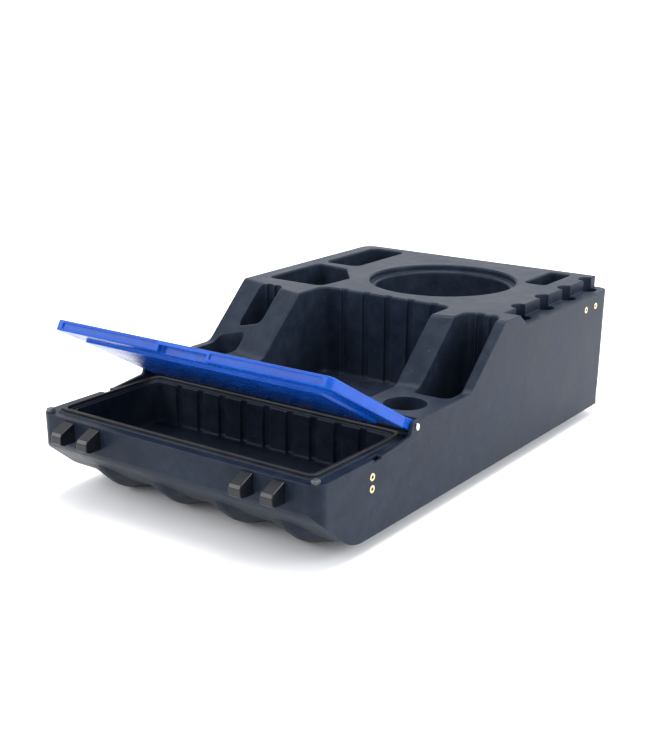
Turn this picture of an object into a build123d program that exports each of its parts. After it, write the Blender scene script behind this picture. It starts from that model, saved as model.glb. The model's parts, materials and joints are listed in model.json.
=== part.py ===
from build123d import *
from math import cos, radians, sin, tan
import os

# A twin-wall moulded tub with a hinged bin lid. All sizes are in millimetres.
# +X is to the right when facing the bin, +Y runs to the rear and +Z is up.
# Distances called "back" are measured rearwards from the tub's front face.

# ---- driving dimensions ---------------------------------------------------
LENGTH = 1010.0
WIDTH = 600.0
WALL = 5.0
RIM_Z = 154.0
SHELF_Z = 184.0
DECK_Z = 290.0
LEDGE_Z = 268.0
DRAFT = 1.0
LUG_REACH = 30.0
VENT_Z = 241.0
VENT_R = 8.0
VENT_HEAD_T = 2.5
HINGE_BACK = 270.0
HINGE_Z = 174.0
LID_OPEN_ANGLE = 30.0

HALF_WIDTH = WIDTH / 2
DRAFT_SLOPE = tan(radians(DRAFT))
VENT_PROUD = VENT_HEAD_T - (DECK_Z - VENT_Z) * DRAFT_SLOPE
FRONT_Y = -(LENGTH + VENT_PROUD - LUG_REACH) / 2


def at(back):
    """Y coordinate of a place that far behind the front face."""
    return FRONT_Y + back


def side_x(height):
    """Half width of the drafted outer wall at a height."""
    return HALF_WIDTH - (DECK_Z - height) * DRAFT_SLOPE


# ---- outer form -----------------------------------------------------------
PLAN_CORNER_R = 20.0
BASE_Z = 24.0            # underside between the keels and the side walls
FOREFOOT_Z = 102.0       # the forefoot sweeps up from the base to this height
FOREFOOT_BACK = 92.0     # and starts this far behind the front face
FOREFOOT_TOP_R = 50.0
FOREFOOT_R = 90.0
HEEL_R = 25.0
STEP_BACK = 282.0        # where the rim steps up to the shelf
SLOPE_FOOT_BACK = 447.0  # foot of the arms' slopes at the outer walls
SLOPE_RUN = 115.0
SLOPE_SLANT = 15.0       # the slopes lean back towards the outer walls
SLOPE_FOOT_R = 26.0
SLOPE_TOP_R = 14.0

# ---- cavities -------------------------------------------------------------
FLUTE_PITCH = 51.0
FLUTE_WIDTH = 17.0
FLUTE_DEPTH = 6.0

BIN_HALF_X = 257.0
BIN_FRONT = 43.0
BIN_REAR = 252.0
BIN_FLOOR = 76.0

TROUGH_LEFT = -128.0
TROUGH_RIGHT = 164.0
TROUGH_FRONT = 322.0
TROUGH_REAR = 599.0
TROUGH_FLOOR = 114.0

WELL_X = 32.0
WELL_BACK = 790.0
WELL_RIM_R = 148.0
WELL_R = 136.0
WELL_LIP = 12.0
WELL_FLOOR = 60.0

CUP_X = 234.0
CUP_BACK = 336.0
CUP_R = 37.5
CUP_FLOOR = 108.0

HOOK_X = 268.0
HOOK_R = 19.0
HOOK_FIRST_BACK = 680.0
HOOK_PITCH = 97.0
HOOK_COUNT = 4
HOOK_FLOOR = 212.0

LEDGE_X = 267.0
LEDGE_START = 613.0
LEDGE_RAMP = 30.0

# pockets in plan: X from, X to, front, rear and corner radius
RIGHT_POCKET = (208.0, 280.0, 398.0, 582.0, 15.0)
ARM_SLOT = (-243.0, -184.0, 468.0, 546.0, 12.0)
SHELF_TRAY = (-282.0, -208.0, 312.0, 456.0, 14.0)
REAR_LEFT_SLOT = (-267.0, -184.0, 797.0, 986.0, 16.0)
REAR_RIGHT_SLOT = (177.0, 222.0, 866.0, 988.0, 10.0)
RIGHT_POCKET_FLOOR = 56.0
ARM_SLOT_FLOOR = 134.0
SHELF_TRAY_FLOOR = 112.0
CORNER_POCKET_FLOOR = 88.0
REAR_LEFT_SLOT_FLOOR = 112.0
REAR_RIGHT_SLOT_FLOOR = 136.0

# ---- rounded edges --------------------------------------------------------
FLOOR_R = 8.0
WELL_MOUTH_R = 5.0
DECK_R = 4.0
HOOK_MOUTH_R = 2.0

# ---- keels under the tub --------------------------------------------------
KEEL_XS = [-200.0, -66.0, 66.0, 200.0]
KEEL_FLAT = 6.0          # half width of each keel's flat crest
KEEL_SPREAD = 60.5       # from the crest's edge to the valley beside it
KEEL_RISE = 18.0         # valleys are this much higher than the crests
KEEL_RAKE = 4.0          # and this much further back
KEEL_TOP_Z = 74.0
STEM_BACK = 39.0         # where each keel grows out of the forefoot
STEM_TOP_R = 60.0
STEM_FOOT_R = 90.0
KEEL_HEEL_R = 20.0

# ---- rim ------------------------------------------------------------------
BEAD_R = 2.6
INNER_BEAD_IN = 35.0
OUTER_BEAD_IN = 22.0
BEAD_REAR_INNER = 259.0
BEAD_REAR_OUTER = 271.0
GASKET_W = 6.0
GASKET_H = 6.5
EAR_T = 6.0
EAR_FRONT = 254.0
EAR_STEP_Z = 162.0
NOTCH_BACK = 158.0
NOTCH_LENGTH = 22.0
NOTCH_DEPTH = 5.0

# ---- hinge ----------------------------------------------------------------
PIN_R = 4.0
PIN_HEAD_LENGTH = 12.5
PIN_HEAD_WIDTH = 9.0
PIN_HEAD_T = 3.5
PIN_IN = 266.0            # inner end of each pin
BUSH_R = 5.6
BUSH_GAP = 0.05
KNUCKLE_R = 9.0
KNUCKLE_IN = 271.0
KNUCKLE_OUT = 290.0
WASHER_R = 8.0
WASHER_T = 0.9

# ---- lid ------------------------------------------------------------------
LID_HALF_X = 290.0
LID_FRONT = -260.0        # measured from the hinge axis, lid closed
LID_REAR = -19.5
LID_BOTTOM = -11.0
LID_TOP = 8.0
LID_WALL = 3.5
LID_PLUG_DROP = 5.0
LID_PLUG_HALF_X = 250.0
LID_PLUG_LENGTH = 188.0
LID_PLUG_MIDDLE = -130.0
NOTCH_HALF_X = 51.0
NOTCH_IN = 11.0
NOTCH_RISE = 12.0
BAND_IN = 2.5

# ---- inserts and lugs -----------------------------------------------------
INSERT_R = 6.3
INSERT_BORE_R = 3.2
INSERT_LENGTH = 15.0
INSERT_BOSS_R = 11.0
FRONT_INSERTS = [(145.0, 106.0), (145.0, 126.0)]
REAR_INSERTS = [(902.0, 243.0), (947.0, 243.0)]
LUG_XS = {"left_outer": -225.0, "left_inner": -164.0, "right_inner": 164.0, "right_outer": 225.0}
LUG_WIDTH = 23.0
LUG_STUD_R = 4.0
LUG_STUD_Z = 133.0

LID_VENT_R = 3.5

os.makedirs("parts", exist_ok=True)


def flute_centres(low, high, pitch):
    """Evenly spaced places for flutes between two ends, centred."""
    count = int((high - low) // pitch)
    start = (low + high) / 2 - (count - 1) * pitch / 2
    return [start + index * pitch for index in range(count)]


def flutes(centres, wall_y):
    """Flutes let rearwards into a wall that lies along X."""
    half = FLUTE_WIDTH / 2
    for centre in centres:
        with BuildLine() as outline:
            Polyline(
                (centre - half - 1.5, at(wall_y - 4)),
                (centre - half + 2.5, at(wall_y + FLUTE_DEPTH)),
                (centre + half - 2.5, at(wall_y + FLUTE_DEPTH)),
                (centre + half + 1.5, at(wall_y - 4)),
                close=True,
            )
        make_face(outline.edges())


def room(x_low, x_high, front, rear, corner):
    """Rounded rectangle in plan between two X values and two distances back."""
    with Locations(((x_low + x_high) / 2, at((front + rear) / 2))):
        RectangleRounded(x_high - x_low, rear - front, corner)


def bin_plan():
    room(-BIN_HALF_X, BIN_HALF_X, BIN_FRONT, BIN_REAR, 14)
    flutes(flute_centres(-BIN_HALF_X + 10, BIN_HALF_X - 10, FLUTE_PITCH), BIN_REAR)


def trough_plan():
    room(TROUGH_LEFT, TROUGH_RIGHT, TROUGH_FRONT, TROUGH_REAR, 16)
    flutes(flute_centres(TROUGH_LEFT + 20, TROUGH_RIGHT - 8, FLUTE_PITCH), TROUGH_REAR)


def right_pocket_plan():
    room(*RIGHT_POCKET)
    flutes([235, 262], RIGHT_POCKET[3])


def arm_slot_plan():
    room(*ARM_SLOT)
    flutes([-222, -203], ARM_SLOT[3])


def shelf_tray_plan():
    room(*SHELF_TRAY)


def corner_pocket_plan():
    with BuildLine() as outline:
        FilletPolyline(
            (-267, at(600)), (-267, at(772)), (-186, at(762)), (-128, at(690)), (-136, at(600)),
            radius=[14, 10, 14, 14, 16], close=True,
        )
    make_face(outline.edges())


def rear_left_slot_plan():
    room(*REAR_LEFT_SLOT)


def rear_right_slot_plan():
    room(*REAR_RIGHT_SLOT)


def cup_plan():
    with Locations((CUP_X, at(CUP_BACK))):
        Circle(CUP_R)


def well_plan():
    with Locations((WELL_X, at(WELL_BACK))):
        Circle(WELL_R)


def well_seat_plan():
    with Locations((WELL_X, at(WELL_BACK))):
        Circle(WELL_RIM_R)


def hooks_plan():
    backs = [HOOK_FIRST_BACK + index * HOOK_PITCH for index in range(HOOK_COUNT)]
    with Locations(*[(HOOK_X, at(back)) for back in backs]):
        Circle(HOOK_R)


CAVITIES = [
    (bin_plan, BIN_FLOOR),
    (trough_plan, TROUGH_FLOOR),
    (right_pocket_plan, RIGHT_POCKET_FLOOR),
    (arm_slot_plan, ARM_SLOT_FLOOR),
    (shelf_tray_plan, SHELF_TRAY_FLOOR),
    (corner_pocket_plan, CORNER_POCKET_FLOOR),
    (rear_left_slot_plan, REAR_LEFT_SLOT_FLOOR),
    (rear_right_slot_plan, REAR_RIGHT_SLOT_FLOOR),
    (cup_plan, CUP_FLOOR),
    (well_plan, WELL_FLOOR),
    (well_seat_plan, DECK_Z - WELL_LIP),
    (hooks_plan, HOOK_FLOOR),
]


def outer_block(inset):
    """Drafted block with a swept-up forefoot, inset evenly from the outer form."""
    foot = DECK_Z * DRAFT_SLOPE
    with BuildSketch(Plane.XY) as section:
        with Locations((0, at(LENGTH / 2))):
            RectangleRounded(
                WIDTH - 2 * foot - 2 * inset, LENGTH - 2 * foot - 2 * inset, PLAN_CORNER_R - inset / 2
            )
    extrude(section.sketch, amount=DECK_Z, taper=-DRAFT)
    with BuildSketch(Plane.YZ) as section:
        with BuildLine() as outline:
            FilletPolyline(
                (at(-1), DECK_Z), (at(-1), FOREFOOT_Z), (at(FOREFOOT_BACK), BASE_Z),
                (at(LENGTH - 4), BASE_Z), (at(LENGTH + 40), DECK_Z),
                radius=[0, FOREFOOT_TOP_R, FOREFOOT_R, HEEL_R, 0], close=True,
            )
        make_face(outline.edges())
        offset(amount=-inset)
    extrude(section.sketch, amount=WIDTH, both=True, mode=Mode.INTERSECT)


def slope_cuts(rise):
    """Clear the space above the shelf, in front of the arms' slanted slopes."""
    lean = radians(SLOPE_SLANT)
    run = SLOPE_RUN * cos(lean)
    for side in (-1, 1):
        past = 40.0
        foot = Plane(
            origin=(side * (HALF_WIDTH + past), at(SLOPE_FOOT_BACK) + past * tan(lean), SHELF_Z - rise),
            x_dir=(-side * sin(lean), cos(lean), 0),
            z_dir=(cos(lean), side * sin(lean), 0),
        )
        with BuildSketch(foot) as section:
            with BuildLine() as outline:
                FilletPolyline(
                    (-420, 0), (0, 0), (run, DECK_Z - SHELF_Z), (run + 60, DECK_Z - SHELF_Z),
                    (run + 60, 200), (-420, 200),
                    radius=[0, SLOPE_FOOT_R, SLOPE_TOP_R, 0, 0, 0], close=True,
                )
            make_face(outline.edges())
        extrude(section.sketch, amount=-side * (HALF_WIDTH + past + 60), mode=Mode.SUBTRACT)


def ledge_cut(depth):
    """Step down along the right edge of the deck."""
    with BuildSketch(Plane.YZ.offset(LEDGE_X - depth)) as section:
        with BuildLine() as outline:
            FilletPolyline(
                (at(LEDGE_START), DECK_Z + 30), (at(LEDGE_START), DECK_Z - depth),
                (at(LEDGE_START + LEDGE_RAMP), LEDGE_Z - depth),
                (at(LENGTH + 60), LEDGE_Z - depth), (at(LENGTH + 60), DECK_Z + 30),
                radius=[0, 8, 18, 0, 0], close=True,
            )
        make_face(outline.edges())
    extrude(section.sketch, amount=60 + depth, mode=Mode.SUBTRACT)


def rim_cut(depth):
    """Drop from the shelf to the bin's rim."""
    with BuildSketch(Plane.YZ) as section:
        with Locations((at(STEP_BACK + depth) - 200, RIM_Z - depth + 200)):
            Rectangle(400, 400)
    extrude(section.sketch, amount=WIDTH, both=True, mode=Mode.SUBTRACT)


def keels(inset):
    """Keels that grow out of the forefoot and run to the rear, inset evenly."""
    for keel_x in KEEL_XS:
        with BuildSketch(Plane.YZ.offset(keel_x)) as section:
            with BuildLine() as outline:
                FilletPolyline(
                    (at(STEM_BACK), KEEL_TOP_Z), (at(STEM_BACK + 17), 43), (at(STEM_BACK + 64), 0),
                    (at(LENGTH - 45), 0), (at(LENGTH - 16), KEEL_TOP_Z),
                    radius=[0, STEM_TOP_R, STEM_FOOT_R, KEEL_HEEL_R, 0], close=True,
                )
            make_face(outline.edges())
            if inset:
                offset(amount=-inset)
        extrude(section.sketch, amount=KEEL_FLAT, both=True)
        for side in (-1, 1):
            spread = Vector(side * KEEL_SPREAD, KEEL_RAKE, KEEL_RISE)
            edge = section.sketch.moved(Location((side * KEEL_FLAT, 0, 0)))
            extrude(edge, dir=spread, amount=spread.length)


def ring_plan(inset, rear, mode=Mode.ADD):
    """Rounded rectangle that follows the rim, a distance in from its outer edge."""
    half = side_x(RIM_Z) - inset
    with Locations((0, at((inset + rear) / 2))):
        RectangleRounded(2 * half, rear - inset, 12, mode=mode)


def bead_path(inset, rear):
    """Half-round bead raised along the rim."""
    with BuildSketch(Plane.XY.offset(RIM_Z)) as ring:
        ring_plan(inset, rear)
    path = ring.sketch.faces()[0].outer_wire()
    with BuildSketch(Plane(origin=path @ 0, z_dir=path % 0)) as section:
        Circle(BEAD_R)
    sweep(section.sketch, path=path)


# ---- hollow between the walls --------------------------------------------
with BuildPart() as hollow:
    outer_block(WALL)
    keels(WALL)
    slope_cuts(WALL)
    rim_cut(WALL)
    ledge_cut(WALL)
    for plan, floor_z in CAVITIES:
        with BuildSketch(Plane.XY.offset(floor_z - WALL)):
            plan()
            offset(amount=WALL)
        extrude(amount=DECK_Z, mode=Mode.SUBTRACT)

# ---- body shell -----------------------------------------------------------
def level_wires(part, height):
    """Outer wires, then inner wires, of a part's level faces at a height."""
    faces = [face for face in part.faces().filter_by(Axis.Z) if abs(face.center().Z - height) < 0.01]
    outer = [face.outer_wire() for face in faces]
    inner = [wire for face in faces for wire in face.inner_wires()]
    return outer, inner


def wire_edges(wires):
    """All the edges of some wires."""
    return [edge for wire in wires for edge in wire.edges()]


def deck_edges(part, x_low, x_high, back_low, back_high):
    """Edges of the deck's outline inside a rectangle in plan."""
    outer, _ = level_wires(part, DECK_Z)
    return [
        edge for edge in wire_edges(outer)
        if x_low < edge.center().X < x_high and at(back_low) < edge.center().Y < at(back_high)
    ]


with BuildPart() as body_shell:
    outer_block(0)
    keels(0)
    slope_cuts(0)
    rim_cut(0)
    ledge_cut(0)
    for plan, floor_z in CAVITIES:
        with BuildSketch(Plane.XY.offset(floor_z)):
            plan()
        extrude(amount=DECK_Z, mode=Mode.SUBTRACT)
    # cavity floors
    floors = sorted({floor_z for _, floor_z in CAVITIES} - {HOOK_FLOOR, DECK_Z - WELL_LIP})
    for floor_z in floors:
        fillet(wire_edges(level_wires(body_shell.part, floor_z)[0]), FLOOR_R)
    # mouths of the well, the deck's pockets, the trough and the sockets
    fillet(wire_edges(level_wires(body_shell.part, DECK_Z - WELL_LIP)[1]), WELL_MOUTH_R)
    fillet(wire_edges(level_wires(body_shell.part, DECK_Z)[1]), DECK_R)
    fillet(deck_edges(body_shell.part, TROUGH_LEFT, TROUGH_RIGHT, 590, 611), DECK_R)
    fillet(deck_edges(body_shell.part, RIGHT_POCKET[0], RIGHT_POCKET[1], 575, 591), DECK_R)
    fillet(deck_edges(body_shell.part, HOOK_X - 23, HALF_WIDTH, LEDGE_START, LENGTH), HOOK_MOUTH_R)
    add(hollow.part, mode=Mode.SUBTRACT)
    # ears that carry the hinge pins
    for side in (-1, 1):
        ear_out = side_x(HINGE_Z)
        with BuildSketch(Plane.YZ.offset(side * (ear_out - EAR_T / 2))):
            with BuildLine():
                FilletPolyline(
                    (at(NOTCH_BACK + 14), RIM_Z - 1), (at(EAR_FRONT), EAR_STEP_Z),
                    (at(EAR_FRONT + 4), SHELF_Z), (at(STEP_BACK + 1), SHELF_Z),
                    (at(STEP_BACK + 1), RIM_Z - 1),
                    radius=[0, 6, 15, 0, 0], close=True,
                )
            make_face()
        extrude(amount=EAR_T / 2, both=True)
        # pin hole
        with BuildSketch(Plane.YZ.offset(side * ear_out)):
            with Locations((at(HINGE_BACK), HINGE_Z)):
                Circle(PIN_R)
        extrude(amount=3 * EAR_T, both=True, mode=Mode.SUBTRACT)
        # notch in the rim's outer edge
        with Locations((side * HALF_WIDTH, at(NOTCH_BACK), RIM_Z)):
            Box(26, NOTCH_LENGTH, 2 * NOTCH_DEPTH, mode=Mode.SUBTRACT)
        # bosses and holes for the threaded inserts
        for back, height in FRONT_INSERTS + REAR_INSERTS:
            wall_x = side_x(height)
            with BuildSketch(Plane.YZ.offset(side * (wall_x - 1))):
                with Locations((at(back), height)):
                    Circle(INSERT_BOSS_R)
            extrude(amount=-side * (INSERT_LENGTH + 5))
            with BuildSketch(Plane.YZ.offset(side * (wall_x + 1))):
                with Locations((at(back), height)):
                    Circle(INSERT_R)
            extrude(amount=-side * (INSERT_LENGTH + 1), mode=Mode.SUBTRACT)
    # the hook holes are cleared again where a boss reaches into one
    with BuildSketch(Plane.XY.offset(HOOK_FLOOR)):
        hooks_plan()
    extrude(amount=DECK_Z, mode=Mode.SUBTRACT)
    # beads that the lid closes down on
    for inset, rear in ((INNER_BEAD_IN, BEAD_REAR_INNER), (OUTER_BEAD_IN, BEAD_REAR_OUTER)):
        bead_path(inset, rear)
    # holes for the lugs' studs and for the vent plug
    for lug_x in LUG_XS.values():
        with BuildSketch(Plane.XZ.offset(-at(20))):
            with Locations((lug_x, LUG_STUD_Z)):
                Circle(LUG_STUD_R)
        extrude(amount=40, mode=Mode.SUBTRACT)
    with BuildSketch(Plane.XZ.offset(-at(LENGTH - 20))):
        with Locations((0, VENT_Z)):
            Circle(VENT_R)
    extrude(amount=-40, mode=Mode.SUBTRACT)

body_shell.part.label = "body_shell"
export_step(body_shell.part, "parts/body_shell.step")

# ---- rim gasket -----------------------------------------------------------
gasket_in = (INNER_BEAD_IN + OUTER_BEAD_IN) / 2
gasket_rear = (BEAD_REAR_INNER + BEAD_REAR_OUTER) / 2
with BuildPart() as rim_gasket:
    with BuildSketch(Plane.XY.offset(RIM_Z)):
        ring_plan(gasket_in - GASKET_W / 2, gasket_rear + GASKET_W / 2)
        ring_plan(gasket_in + GASKET_W / 2, gasket_rear - GASKET_W / 2, Mode.SUBTRACT)
    extrude(amount=GASKET_H)
    fillet(rim_gasket.edges().group_by(Axis.Z)[-1], 2.0)
rim_gasket.part.label = "rim_gasket"
export_step(rim_gasket.part, "parts/rim_gasket.step")

# ---- corner bumpers -------------------------------------------------------
for side, name in ((-1, "left"), (1, "right")):
    with BuildPart() as corner_bumper:
        with BuildSketch(Plane.XY.offset(RIM_Z)):
            with Locations((side * (side_x(RIM_Z) - 14), at(15))):
                RectangleRounded(13, 15, 5)
        extrude(amount=7)
        fillet(corner_bumper.edges().group_by(Axis.Z)[-1], 3.5)
    corner_bumper.part.label = "corner_bumper_" + name
    export_step(corner_bumper.part, "parts/corner_bumper_" + name + ".step")

# ---- hinge pins, bushes, washers and clips --------------------------------
for side, name in ((-1, "left"), (1, "right")):
    wall_x = side_x(HINGE_Z)
    hinge_line = (at(HINGE_BACK), HINGE_Z)

    with BuildPart() as hinge_pin:
        with BuildSketch(Plane.YZ.offset(side * PIN_IN)):
            with Locations(hinge_line):
                Circle(PIN_R)
        extrude(amount=side * (wall_x - PIN_IN + 1))
        with BuildSketch(Plane.YZ.offset(side * (wall_x + 0.2))):
            with Locations(hinge_line):
                SlotOverall(PIN_HEAD_LENGTH, PIN_HEAD_WIDTH, rotation=90)
        extrude(amount=side * PIN_HEAD_T)
        fillet(hinge_pin.edges().group_by(Axis.X)[-1 if side > 0 else 0], 1.5)
    hinge_pin.part.label = "hinge_pin_" + name
    export_step(hinge_pin.part, "parts/hinge_pin_" + name + ".step")

    with BuildPart() as hinge_bush:
        with BuildSketch(Plane.YZ.offset(side * (KNUCKLE_IN - 1))):
            with Locations(hinge_line):
                Circle(BUSH_R)
                Circle(PIN_R + BUSH_GAP, mode=Mode.SUBTRACT)
        extrude(amount=side * (KNUCKLE_OUT - KNUCKLE_IN + 1))
    hinge_bush.part.label = "hinge_bush_" + name
    export_step(hinge_bush.part, "parts/hinge_bush_" + name + ".step")

    with BuildPart() as hinge_washer:
        with BuildSketch(Plane.YZ.offset(side * (wall_x - EAR_T - WASHER_T))):
            with Locations(hinge_line):
                Circle(WASHER_R)
                Circle(PIN_R, mode=Mode.SUBTRACT)
        extrude(amount=side * WASHER_T)
    hinge_washer.part.label = "hinge_washer_" + name
    export_step(hinge_washer.part, "parts/hinge_washer_" + name + ".step")

    with BuildPart() as hinge_clip:
        with BuildSketch(Plane.YZ.offset(side * PIN_IN)):
            with Locations(hinge_line):
                RegularPolygon(PIN_R + 3, 8)
                Circle(PIN_R, mode=Mode.SUBTRACT)
        extrude(amount=side * 2.5)
    hinge_clip.part.label = "hinge_clip_" + name
    export_step(hinge_clip.part, "parts/hinge_clip_" + name + ".step")

# ---- lid ------------------------------------------------------------------
lid_plane = Plane(
    origin=(0, at(HINGE_BACK), HINGE_Z),
    x_dir=(1, 0, 0),
    z_dir=(0, sin(radians(LID_OPEN_ANGLE)), cos(radians(LID_OPEN_ANGLE))),
)
lid_side_plane = Plane(origin=lid_plane.origin, x_dir=lid_plane.y_dir, z_dir=(1, 0, 0))
lid_front_plane = Plane(
    origin=lid_plane.from_local_coords((0, LID_FRONT, 0)), x_dir=(1, 0, 0), z_dir=-lid_plane.y_dir
)
lid_rear_plane = Plane(
    origin=lid_plane.from_local_coords((0, LID_REAR, 0)), x_dir=(1, 0, 0), z_dir=lid_plane.y_dir
)
lid_middle = (LID_FRONT + LID_REAR) / 2


def lid_slab(inset):
    """The lid's main slab, inset evenly from its outer form."""
    with BuildSketch(lid_plane.offset(LID_BOTTOM + inset)) as section:
        with Locations((0, lid_middle)):
            RectangleRounded(2 * (LID_HALF_X - inset), LID_REAR - LID_FRONT - 2 * inset, 9 - inset)
    extrude(section.sketch, amount=LID_TOP - LID_BOTTOM - 2 * inset)


def lid_notch(grow):
    """Finger notch under the middle of the front edge."""
    with BuildSketch(lid_plane.offset(LID_BOTTOM - 1)) as section:
        with Locations((0, LID_FRONT)):
            RectangleRounded(2 * (NOTCH_HALF_X + grow), 2 * (NOTCH_IN + grow), 4)
    extrude(section.sketch, amount=NOTCH_RISE + 1 + grow, mode=Mode.SUBTRACT)


def lid_bands(grow):
    """Recessed band along the front face, either side of the notch."""
    for side in (-1, 1):
        low, high = NOTCH_HALF_X + 5, LID_HALF_X - 16
        with BuildSketch(lid_front_plane) as section:
            with Locations((side * (low + high) / 2, (LID_TOP + LID_BOTTOM) / 2 - 0.5)):
                RectangleRounded(high - low + 2 * grow, LID_TOP - LID_BOTTOM - 8 + 2 * grow, 3)
        extrude(section.sketch, amount=-(BAND_IN + grow), mode=Mode.SUBTRACT)


with BuildPart() as lid_hollow:
    lid_slab(LID_WALL)
    lid_notch(LID_WALL)
    lid_bands(LID_WALL)

with BuildPart() as lid_shell:
    lid_slab(0)
    fillet(lid_shell.edges().filter_by(Axis.X), 2.5)
    # raised panel that drops inside the beads when the lid is shut
    with BuildSketch(lid_plane.offset(LID_BOTTOM - LID_PLUG_DROP)):
        with Locations((0, LID_PLUG_MIDDLE)):
            RectangleRounded(2 * LID_PLUG_HALF_X, LID_PLUG_LENGTH, 10)
    extrude(amount=LID_PLUG_DROP + 1, taper=-20)
    lid_notch(0)
    lid_bands(0)
    add(lid_hollow.part, mode=Mode.SUBTRACT)
    # shallow panel in the top
    with BuildSketch(lid_plane.offset(LID_TOP)):
        with Locations((0, lid_middle)):
            RectangleRounded(2 * LID_HALF_X - 70, LID_REAR - LID_FRONT - 60, 14)
    extrude(amount=-1.5, mode=Mode.SUBTRACT)
    for side in (-1, 1):
        # hinge arm and knuckle
        with BuildSketch(lid_side_plane.offset(side * KNUCKLE_IN)):
            with BuildLine():
                Polyline(
                    (LID_REAR - 4, LID_BOTTOM + 2), (LID_REAR - 4, LID_TOP), (0, KNUCKLE_R), (0, -KNUCKLE_R),
                    close=True,
                )
            make_face()
            Circle(KNUCKLE_R)
            Circle(BUSH_R, mode=Mode.SUBTRACT)
        extrude(amount=side * (KNUCKLE_OUT - KNUCKLE_IN))
    # vent hole in the rear edge
    with BuildSketch(lid_rear_plane):
        Circle(LID_VENT_R)
    extrude(amount=-10, mode=Mode.SUBTRACT)
lid_shell.part.label = "lid_shell"
export_step(lid_shell.part, "parts/lid_shell.step")

with BuildPart() as lid_vent_plug:
    with BuildSketch(lid_rear_plane):
        Circle(LID_VENT_R + 2)
    extrude(amount=1.5)
    with BuildSketch(lid_rear_plane):
        Circle(LID_VENT_R)
    extrude(amount=-6)
lid_vent_plug.part.label = "lid_vent_plug"
export_step(lid_vent_plug.part, "parts/lid_vent_plug.step")

# ---- front lugs -----------------------------------------------------------
for name, lug_x in LUG_XS.items():
    with BuildPart() as front_lug:
        with BuildSketch(Plane.YZ.offset(lug_x - LUG_WIDTH / 2)):
            with BuildLine():
                FilletPolyline(
                    (at(12), 150), (at(1), 150), (at(-26), 138), (at(-LUG_REACH), 132),
                    (at(-LUG_REACH), 119), (at(-22), 115), (at(12), 115),
                    radius=[0, 3, 5, 3, 3, 4, 0], close=True,
                )
            make_face()
        extrude(amount=LUG_WIDTH)
        fillet(front_lug.edges().filter_by(GeomType.LINE).filter_by(Axis.X, reverse=True), 1.2)
        with BuildSketch(Plane.XZ.offset(-at(16))):
            with Locations((lug_x, LUG_STUD_Z)):
                Circle(LUG_STUD_R)
        extrude(amount=10)
        add(body_shell.part, mode=Mode.SUBTRACT)
    front_lug.part.label = "front_lug_" + name
    export_step(front_lug.part, "parts/front_lug_" + name + ".step")

# ---- threaded inserts -----------------------------------------------------
for side, side_name in ((-1, "left"), (1, "right")):
    for end_name, places in (("front", FRONT_INSERTS), ("rear", REAR_INSERTS)):
        with BuildPart() as inserts:
            for back, height in places:
                with BuildSketch(Plane.YZ.offset(side * (side_x(height) - INSERT_LENGTH))):
                    with Locations((at(back), height)):
                        Circle(INSERT_R)
                        Circle(INSERT_BORE_R, mode=Mode.SUBTRACT)
                extrude(amount=side * (INSERT_LENGTH + 0.3))
        label = end_name + "_inserts_" + side_name
        inserts.part.label = label
        export_step(inserts.part, "parts/" + label + ".step")

# ---- body vent plug -------------------------------------------------------
vent_y = at(LENGTH) - (DECK_Z - VENT_Z) * DRAFT_SLOPE
with BuildPart() as body_vent_plug:
    with BuildSketch(Plane.XZ.offset(-vent_y)):
        with Locations((0, VENT_Z)):
            Circle(VENT_R + 3)
    extrude(amount=-VENT_HEAD_T)
    fillet(body_vent_plug.edges().group_by(Axis.Y)[-1], 1.5)
    with BuildSketch(Plane.XZ.offset(-vent_y)):
        with Locations((0, VENT_Z)):
            Circle(VENT_R)
    extrude(amount=9)
    add(body_shell.part, mode=Mode.SUBTRACT)
body_vent_plug.part.label = "body_vent_plug"
export_step(body_vent_plug.part, "parts/body_vent_plug.step")
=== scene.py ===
import bpy
import json
import math
from mathutils import Matrix, Vector

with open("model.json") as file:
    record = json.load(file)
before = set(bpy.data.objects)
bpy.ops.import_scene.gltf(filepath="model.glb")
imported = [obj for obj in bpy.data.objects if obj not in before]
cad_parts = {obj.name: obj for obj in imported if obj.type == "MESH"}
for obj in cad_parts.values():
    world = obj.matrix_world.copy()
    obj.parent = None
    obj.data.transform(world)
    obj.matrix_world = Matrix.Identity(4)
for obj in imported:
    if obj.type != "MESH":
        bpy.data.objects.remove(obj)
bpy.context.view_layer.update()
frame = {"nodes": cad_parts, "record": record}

# Camera: photographed from the front right, a little above.
AZIMUTH = 35.99
ELEVATION = 16.76
ROLL = 0.09
LENS = 59.56
CAMERA_PLACE = (1.2918, -1.8412, 0.8316)

EDGE_RADIUS = 0.003
BEVEL_SAMPLES = 6
DUST = (0.42, 0.44, 0.47)
# strength of the lighter edges: edge wear together with a painted highlight along every edge
EDGE_WEAR_AND_HIGHLIGHT = 0.55
SCUFF_WEAR = 0.35

# Studio: the floor's half width, and each softbox's place, target, size, power and colour.
FLOOR_HALF = 40.0
WHITE = (1.0, 1.0, 1.0)
SOFTBOXES = [
    ("key_front_left", (-2.1, -2.5, 2.1), (0.0, -0.35, 0.2), (2.4, 1.6), 58.0, WHITE),
    ("overhead", (0.2, 0.5, 3.2), (0.0, 0.1, 0.1), (3.0, 2.2), 120.0, WHITE),
    ("right_side", (3.4, 0.9, 1.7), (0.2, 0.1, 0.1), (2.6, 1.8), 85.0, (0.93, 0.96, 1.0)),
]
WORLD_COLOUR = (0.95, 0.97, 1.0, 1.0)
WORLD_STRENGTH = 1.25


# ---- node helpers ---------------------------------------------------------
def start_material(name):
    material = bpy.data.materials.new(name)
    material.use_nodes = True
    tree = material.node_tree
    tree.nodes.clear()
    output = tree.nodes.new("ShaderNodeOutputMaterial")
    shader = tree.nodes.new("ShaderNodeBsdfPrincipled")
    tree.links.new(shader.outputs["BSDF"], output.inputs["Surface"])
    place = tree.nodes.new("ShaderNodeTexCoord").outputs["Object"]
    return material, tree, shader, place


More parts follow.
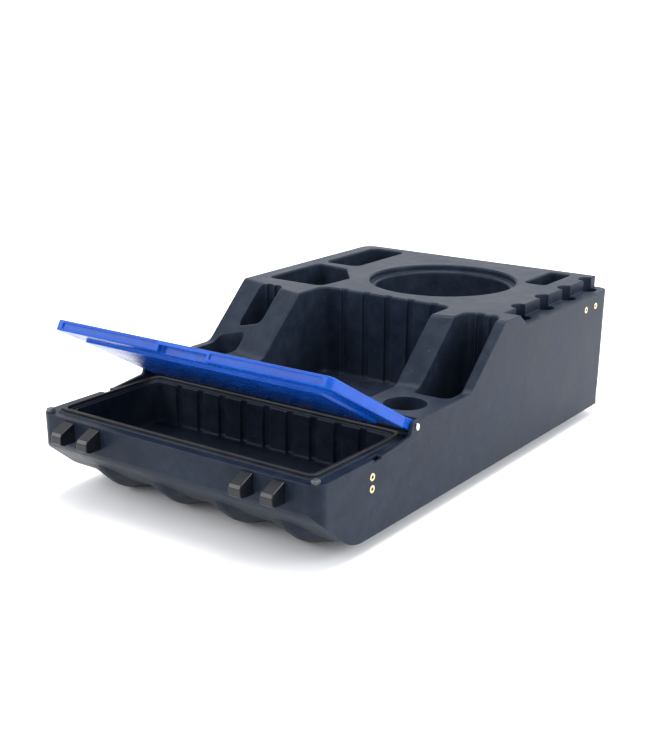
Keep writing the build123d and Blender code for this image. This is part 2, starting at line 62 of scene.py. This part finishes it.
def stretched(tree, place, scale):
    mapping = tree.nodes.new("ShaderNodeMapping")
    mapping.inputs["Scale"].default_value = scale
    tree.links.new(place, mapping.inputs["Vector"])
    return mapping.outputs["Vector"]


def noise(tree, place, scale, detail=3.0, rough=0.55):
    node = tree.nodes.new("ShaderNodeTexNoise")
    node.inputs["Scale"].default_value = scale
    node.inputs["Detail"].default_value = detail
    node.inputs["Roughness"].default_value = rough
    tree.links.new(place, node.inputs["Vector"])
    return node.outputs["Fac"]


def cells(tree, place, scale):
    node = tree.nodes.new("ShaderNodeTexVoronoi")
    node.feature = "F1"
    node.inputs["Scale"].default_value = scale
    tree.links.new(place, node.inputs["Vector"])
    return node.outputs["Distance"]


def remap(tree, value, low, high, to_low=0.0, to_high=1.0, smooth=False):
    node = tree.nodes.new("ShaderNodeMapRange")
    node.clamp = True
    if smooth:
        node.interpolation_type = "SMOOTHSTEP"
    for name, number in (("From Min", low), ("From Max", high), ("To Min", to_low), ("To Max", to_high)):
        node.inputs[name].default_value = number
    tree.links.new(value, node.inputs["Value"])
    return node.outputs["Result"]


def math_node(tree, operation, first, second):
    node = tree.nodes.new("ShaderNodeMath")
    node.operation = operation
    node.use_clamp = False
    for index, value in enumerate((first, second)):
        if isinstance(value, (int, float)):
            node.inputs[index].default_value = value
        else:
            tree.links.new(value, node.inputs[index])
    return node.outputs["Value"]


def blend_colours(tree, factor, first, second):
    node = tree.nodes.new("ShaderNodeMix")
    node.data_type = "RGBA"
    for name, value in (("A", first), ("B", second)):
        socket = [s for s in node.inputs if s.name == name and s.type == "RGBA"][0]
        if isinstance(value, tuple):
            socket.default_value = (*value, 1.0)
        else:
            tree.links.new(value, socket)
    tree.links.new(factor, node.inputs["Factor"])
    return [s for s in node.outputs if s.type == "RGBA"][0]


def bumped(tree, layers, normal):
    """Chain of bumps over a normal: (height, distance in metres, strength)."""
    for height, distance, strength in layers:
        node = tree.nodes.new("ShaderNodeBump")
        node.inputs["Distance"].default_value = distance
        node.inputs["Strength"].default_value = strength
        tree.links.new(height, node.inputs["Height"])
        tree.links.new(normal, node.inputs["Normal"])
        normal = node.outputs["Normal"]
    return normal


def rounded_edges(tree, radius):
    """Softened normal at edges, and a mask that is 1 on the edges."""
    bevel = tree.nodes.new("ShaderNodeBevel")
    bevel.samples = BEVEL_SAMPLES
    bevel.inputs["Radius"].default_value = radius
    geometry = tree.nodes.new("ShaderNodeNewGeometry")
    dot = tree.nodes.new("ShaderNodeVectorMath")
    dot.operation = "DOT_PRODUCT"
    tree.links.new(bevel.outputs["Normal"], dot.inputs[0])
    tree.links.new(geometry.outputs["Normal"], dot.inputs[1])
    mask = remap(tree, dot.outputs["Value"], 0.995, 0.86, smooth=True)
    return bevel.outputs["Normal"], mask


def moulded(
    name, colour, light, rough, edge_rough, grain, dust, radius=EDGE_RADIUS, shine=0.3, waviness=1.0
):
    """Moulded plastic or rubber with mottling, fine grain, dust specks, scuffs, and lighter edges that are
    partly wear and partly painted highlight.
    """
    material, tree, shader, place = start_material(name)
    normal, edge = rounded_edges(tree, radius)

    mottle = noise(tree, place, 7.0, 4.0, 0.6)
    patches = noise(tree, place, 38.0, 3.0, 0.6)
    clouding = math_node(tree, "MULTIPLY", mottle, patches)
    tone = blend_colours(tree, remap(tree, clouding, 0.15, 0.42), colour, light)

    # fine scuffs that run along the tub
    scuffs = noise(tree, stretched(tree, place, (260.0, 14.0, 260.0)), 1.0, 2.0, 0.7)
    scuff_mask = math_node(
        tree, "MULTIPLY", remap(tree, scuffs, 0.66, 0.78), remap(tree, patches, 0.5, 0.65)
    )
    scuffed = tuple(min(1.0, value * 2.0 + 0.02) for value in light)
    tone = blend_colours(tree, math_node(tree, "MULTIPLY", scuff_mask, SCUFF_WEAR), tone, scuffed)

    # pale dust specks of uneven size
    specks = remap(tree, cells(tree, place, 210.0), 0.17, 0.05)
    sparse = remap(tree, noise(tree, place, 60.0, 2.0), 0.56, 0.72)
    speck_mask = math_node(tree, "MULTIPLY", math_node(tree, "MULTIPLY", specks, sparse), dust)
    tone = blend_colours(tree, speck_mask, tone, DUST)

    # lighter colour on every edge, creases included: partly edge wear, partly painted highlight
    worn_and_highlight_edge_tone = tuple(min(1.0, value * 1.6 + 0.012) for value in light)
    tone = blend_colours(tree, math_node(tree, "MULTIPLY", edge, EDGE_WEAR_AND_HIGHLIGHT), tone, worn_and_highlight_edge_tone)
    tree.links.new(tone, shader.inputs["Base Color"])

    roughness = remap(tree, mottle, 0.3, 0.7, rough - 0.05, rough + 0.07)
    roughness = math_node(tree, "ADD", roughness, remap(tree, patches, 0.35, 0.7, -0.03, 0.05))
    roughness = math_node(tree, "ADD", roughness, math_node(tree, "MULTIPLY", scuff_mask, 0.12))
    smoother = math_node(tree, "MULTIPLY", edge, rough - edge_rough)
    tree.links.new(math_node(tree, "SUBTRACT", roughness, smoother), shader.inputs["Roughness"])

    shader.inputs["Specular IOR Level"].default_value = shine

    layers = [
        (noise(tree, place, 11.0, 2.0), 0.0030 * waviness, 0.35),
        (noise(tree, place, 95.0, 2.0), 0.00035, 0.35),
        (noise(tree, place, 1400.0, 2.0, 0.7), 0.00012, grain),
    ]
    tree.links.new(bumped(tree, layers, normal), shader.inputs["Normal"])
    return material


def turned_metal(name, colour, dark, rough, axis_scale):
    """Metal with fine turning lines, tarnish and a little grime."""
    material, tree, shader, place = start_material(name)
    normal, edge = rounded_edges(tree, 0.0006)
    lines = noise(tree, stretched(tree, place, axis_scale), 1.0, 3.0, 0.7)
    tarnish = noise(tree, place, 240.0, 4.0, 0.65)
    tone = blend_colours(tree, remap(tree, tarnish, 0.42, 0.72), colour, dark)
    # painted highlight: every edge lightened towards a brighter metal colour
    edge_highlight_tone = tuple(min(1.0, value * 1.15) for value in colour)
    tone = blend_colours(tree, math_node(tree, "MULTIPLY", edge, 0.7), tone, edge_highlight_tone)
    tree.links.new(tone, shader.inputs["Base Color"])
    shader.inputs["Metallic"].default_value = 1.0
    roughness = remap(tree, tarnish, 0.3, 0.75, rough - 0.06, rough + 0.14)
    tree.links.new(math_node(tree, "ADD", roughness, remap(tree, lines, 0.3, 0.7, -0.05, 0.05)),
                   shader.inputs["Roughness"])
    layers = [(lines, 0.00008, 0.4), (noise(tree, place, 900.0), 0.00005, 0.3)]
    tree.links.new(bumped(tree, layers, normal), shader.inputs["Normal"])
    return material


def floor_material():
    material, tree, shader, place = start_material("studio_floor")
    shade = remap(tree, noise(tree, place, 2.0), 0.2, 0.8)
    tone = blend_colours(tree, shade, (0.93, 0.93, 0.935), (0.95, 0.95, 0.95))
    tree.links.new(tone, shader.inputs["Base Color"])
    shader.inputs["Roughness"].default_value = 0.7
    shader.inputs["Specular IOR Level"].default_value = 0.2
    return material


black = moulded("tub_polyethylene", (0.009, 0.013, 0.022), (0.018, 0.025, 0.040), 0.34, 0.22, 0.30, 0.35,
                shine=0.08)
lug_black = moulded("lug_polymer", (0.004, 0.005, 0.007), (0.009, 0.010, 0.014), 0.18, 0.12, 0.12, 0.2,
                    radius=0.0015)
bumper_black = moulded("bumper_rubber", (0.050, 0.056, 0.066), (0.100, 0.108, 0.120), 0.12, 0.08, 0.05, 0.2,
                       radius=0.0015)
gasket_black = moulded("gasket_rubber", (0.010, 0.010, 0.012), (0.024, 0.024, 0.027), 0.55, 0.42, 0.35, 0.5,
                       radius=0.001)
plug_black = moulded("plug_polymer", (0.014, 0.016, 0.020), (0.026, 0.030, 0.038), 0.33, 0.22, 0.2, 0.4,
                     radius=0.001)
blue = moulded("lid_polymer", (0.001, 0.046, 0.30), (0.003, 0.072, 0.40), 0.22, 0.14, 0.10, 0.12,
               radius=0.0025, shine=0.15, waviness=0.8)
blue_plug = moulded("lid_plug_polymer", (0.002, 0.045, 0.38), (0.006, 0.080, 0.52), 0.32, 0.20, 0.15, 0.3,
                    radius=0.0008)
nylon = moulded("bush_nylon", (0.62, 0.60, 0.55), (0.74, 0.72, 0.67), 0.38, 0.26, 0.15, 0.0, radius=0.0005)
steel = turned_metal("plated_steel", (0.66, 0.66, 0.67), (0.42, 0.42, 0.43), 0.22, (30.0, 2400.0, 2400.0))
brass = turned_metal("turned_brass", (0.86, 0.72, 0.42), (0.52, 0.40, 0.20), 0.24, (60.0, 2200.0, 2200.0))

LOOKS = {
    "body": black, "lid": blue, "gasket": gasket_black, "bumper": bumper_black, "lug": lug_black,
    "steel": steel, "brass": brass, "nylon": nylon, "plug": plug_black, "lid_plug": blue_plug,
}
slot_of = {entry["node"]: entry["material_slot"] for entry in frame["record"]["subparts"]}
for node_name, node in frame["nodes"].items():
    look = LOOKS[slot_of[node_name]]
    node.data.materials.clear()
    node.data.materials.append(look)

# ---- floor ----------------------------------------------------------------
floor_mesh = bpy.data.meshes.new("studio_floor")
floor_mesh.from_pydata(
    [(-FLOOR_HALF, -FLOOR_HALF, 0), (FLOOR_HALF, -FLOOR_HALF, 0), (FLOOR_HALF, FLOOR_HALF, 0),
     (-FLOOR_HALF, FLOOR_HALF, 0)], [], [(0, 1, 2, 3)],
)
floor = bpy.data.objects.new("studio_floor", floor_mesh)
bpy.context.scene.collection.objects.link(floor)
floor.data.materials.append(floor_material())


# ---- light ----------------------------------------------------------------
def softbox(name, place, target, size, power, colour):
    data = bpy.data.lights.new(name, "AREA")
    data.shape = "RECTANGLE"
    data.size, data.size_y = size
    data.energy = power
    data.color = colour
    lamp = bpy.data.objects.new(name, data)
    bpy.context.scene.collection.objects.link(lamp)
    lamp.location = place
    aim = Vector(target) - Vector(place)
    lamp.rotation_euler = aim.to_track_quat("-Z", "Y").to_euler()


for box in SOFTBOXES:
    softbox(*box)

world = bpy.data.worlds.new("studio")
world.use_nodes = True
world.node_tree.nodes["Background"].inputs["Color"].default_value = WORLD_COLOUR
world.node_tree.nodes["Background"].inputs["Strength"].default_value = WORLD_STRENGTH
bpy.context.scene.world = world
bpy.context.scene.view_settings.view_transform = "Standard"
bpy.context.scene.view_settings.look = "None"

# ---- camera ---------------------------------------------------------------
azimuth = math.radians(AZIMUTH)
elevation = math.radians(ELEVATION)
back = Vector((math.sin(azimuth) * math.cos(elevation), -math.cos(azimuth) * math.cos(elevation),
               math.sin(elevation)))
right = Vector((math.cos(azimuth), math.sin(azimuth), 0.0))
up = back.cross(right)
turn = Matrix((right, up, back)).transposed() @ Matrix.Rotation(math.radians(ROLL), 3, "Z")
camera_data = bpy.data.cameras.new("camera")
camera_data.sensor_width = 36.0
camera_data.sensor_fit = "AUTO"
camera_data.lens = LENS
camera_data.clip_end = 200.0
camera = bpy.data.objects.new("camera", camera_data)
bpy.context.scene.collection.objects.link(camera)
camera.matrix_world = Matrix.Translation(CAMERA_PLACE) @ turn.to_4x4()
bpy.context.scene.camera = camera
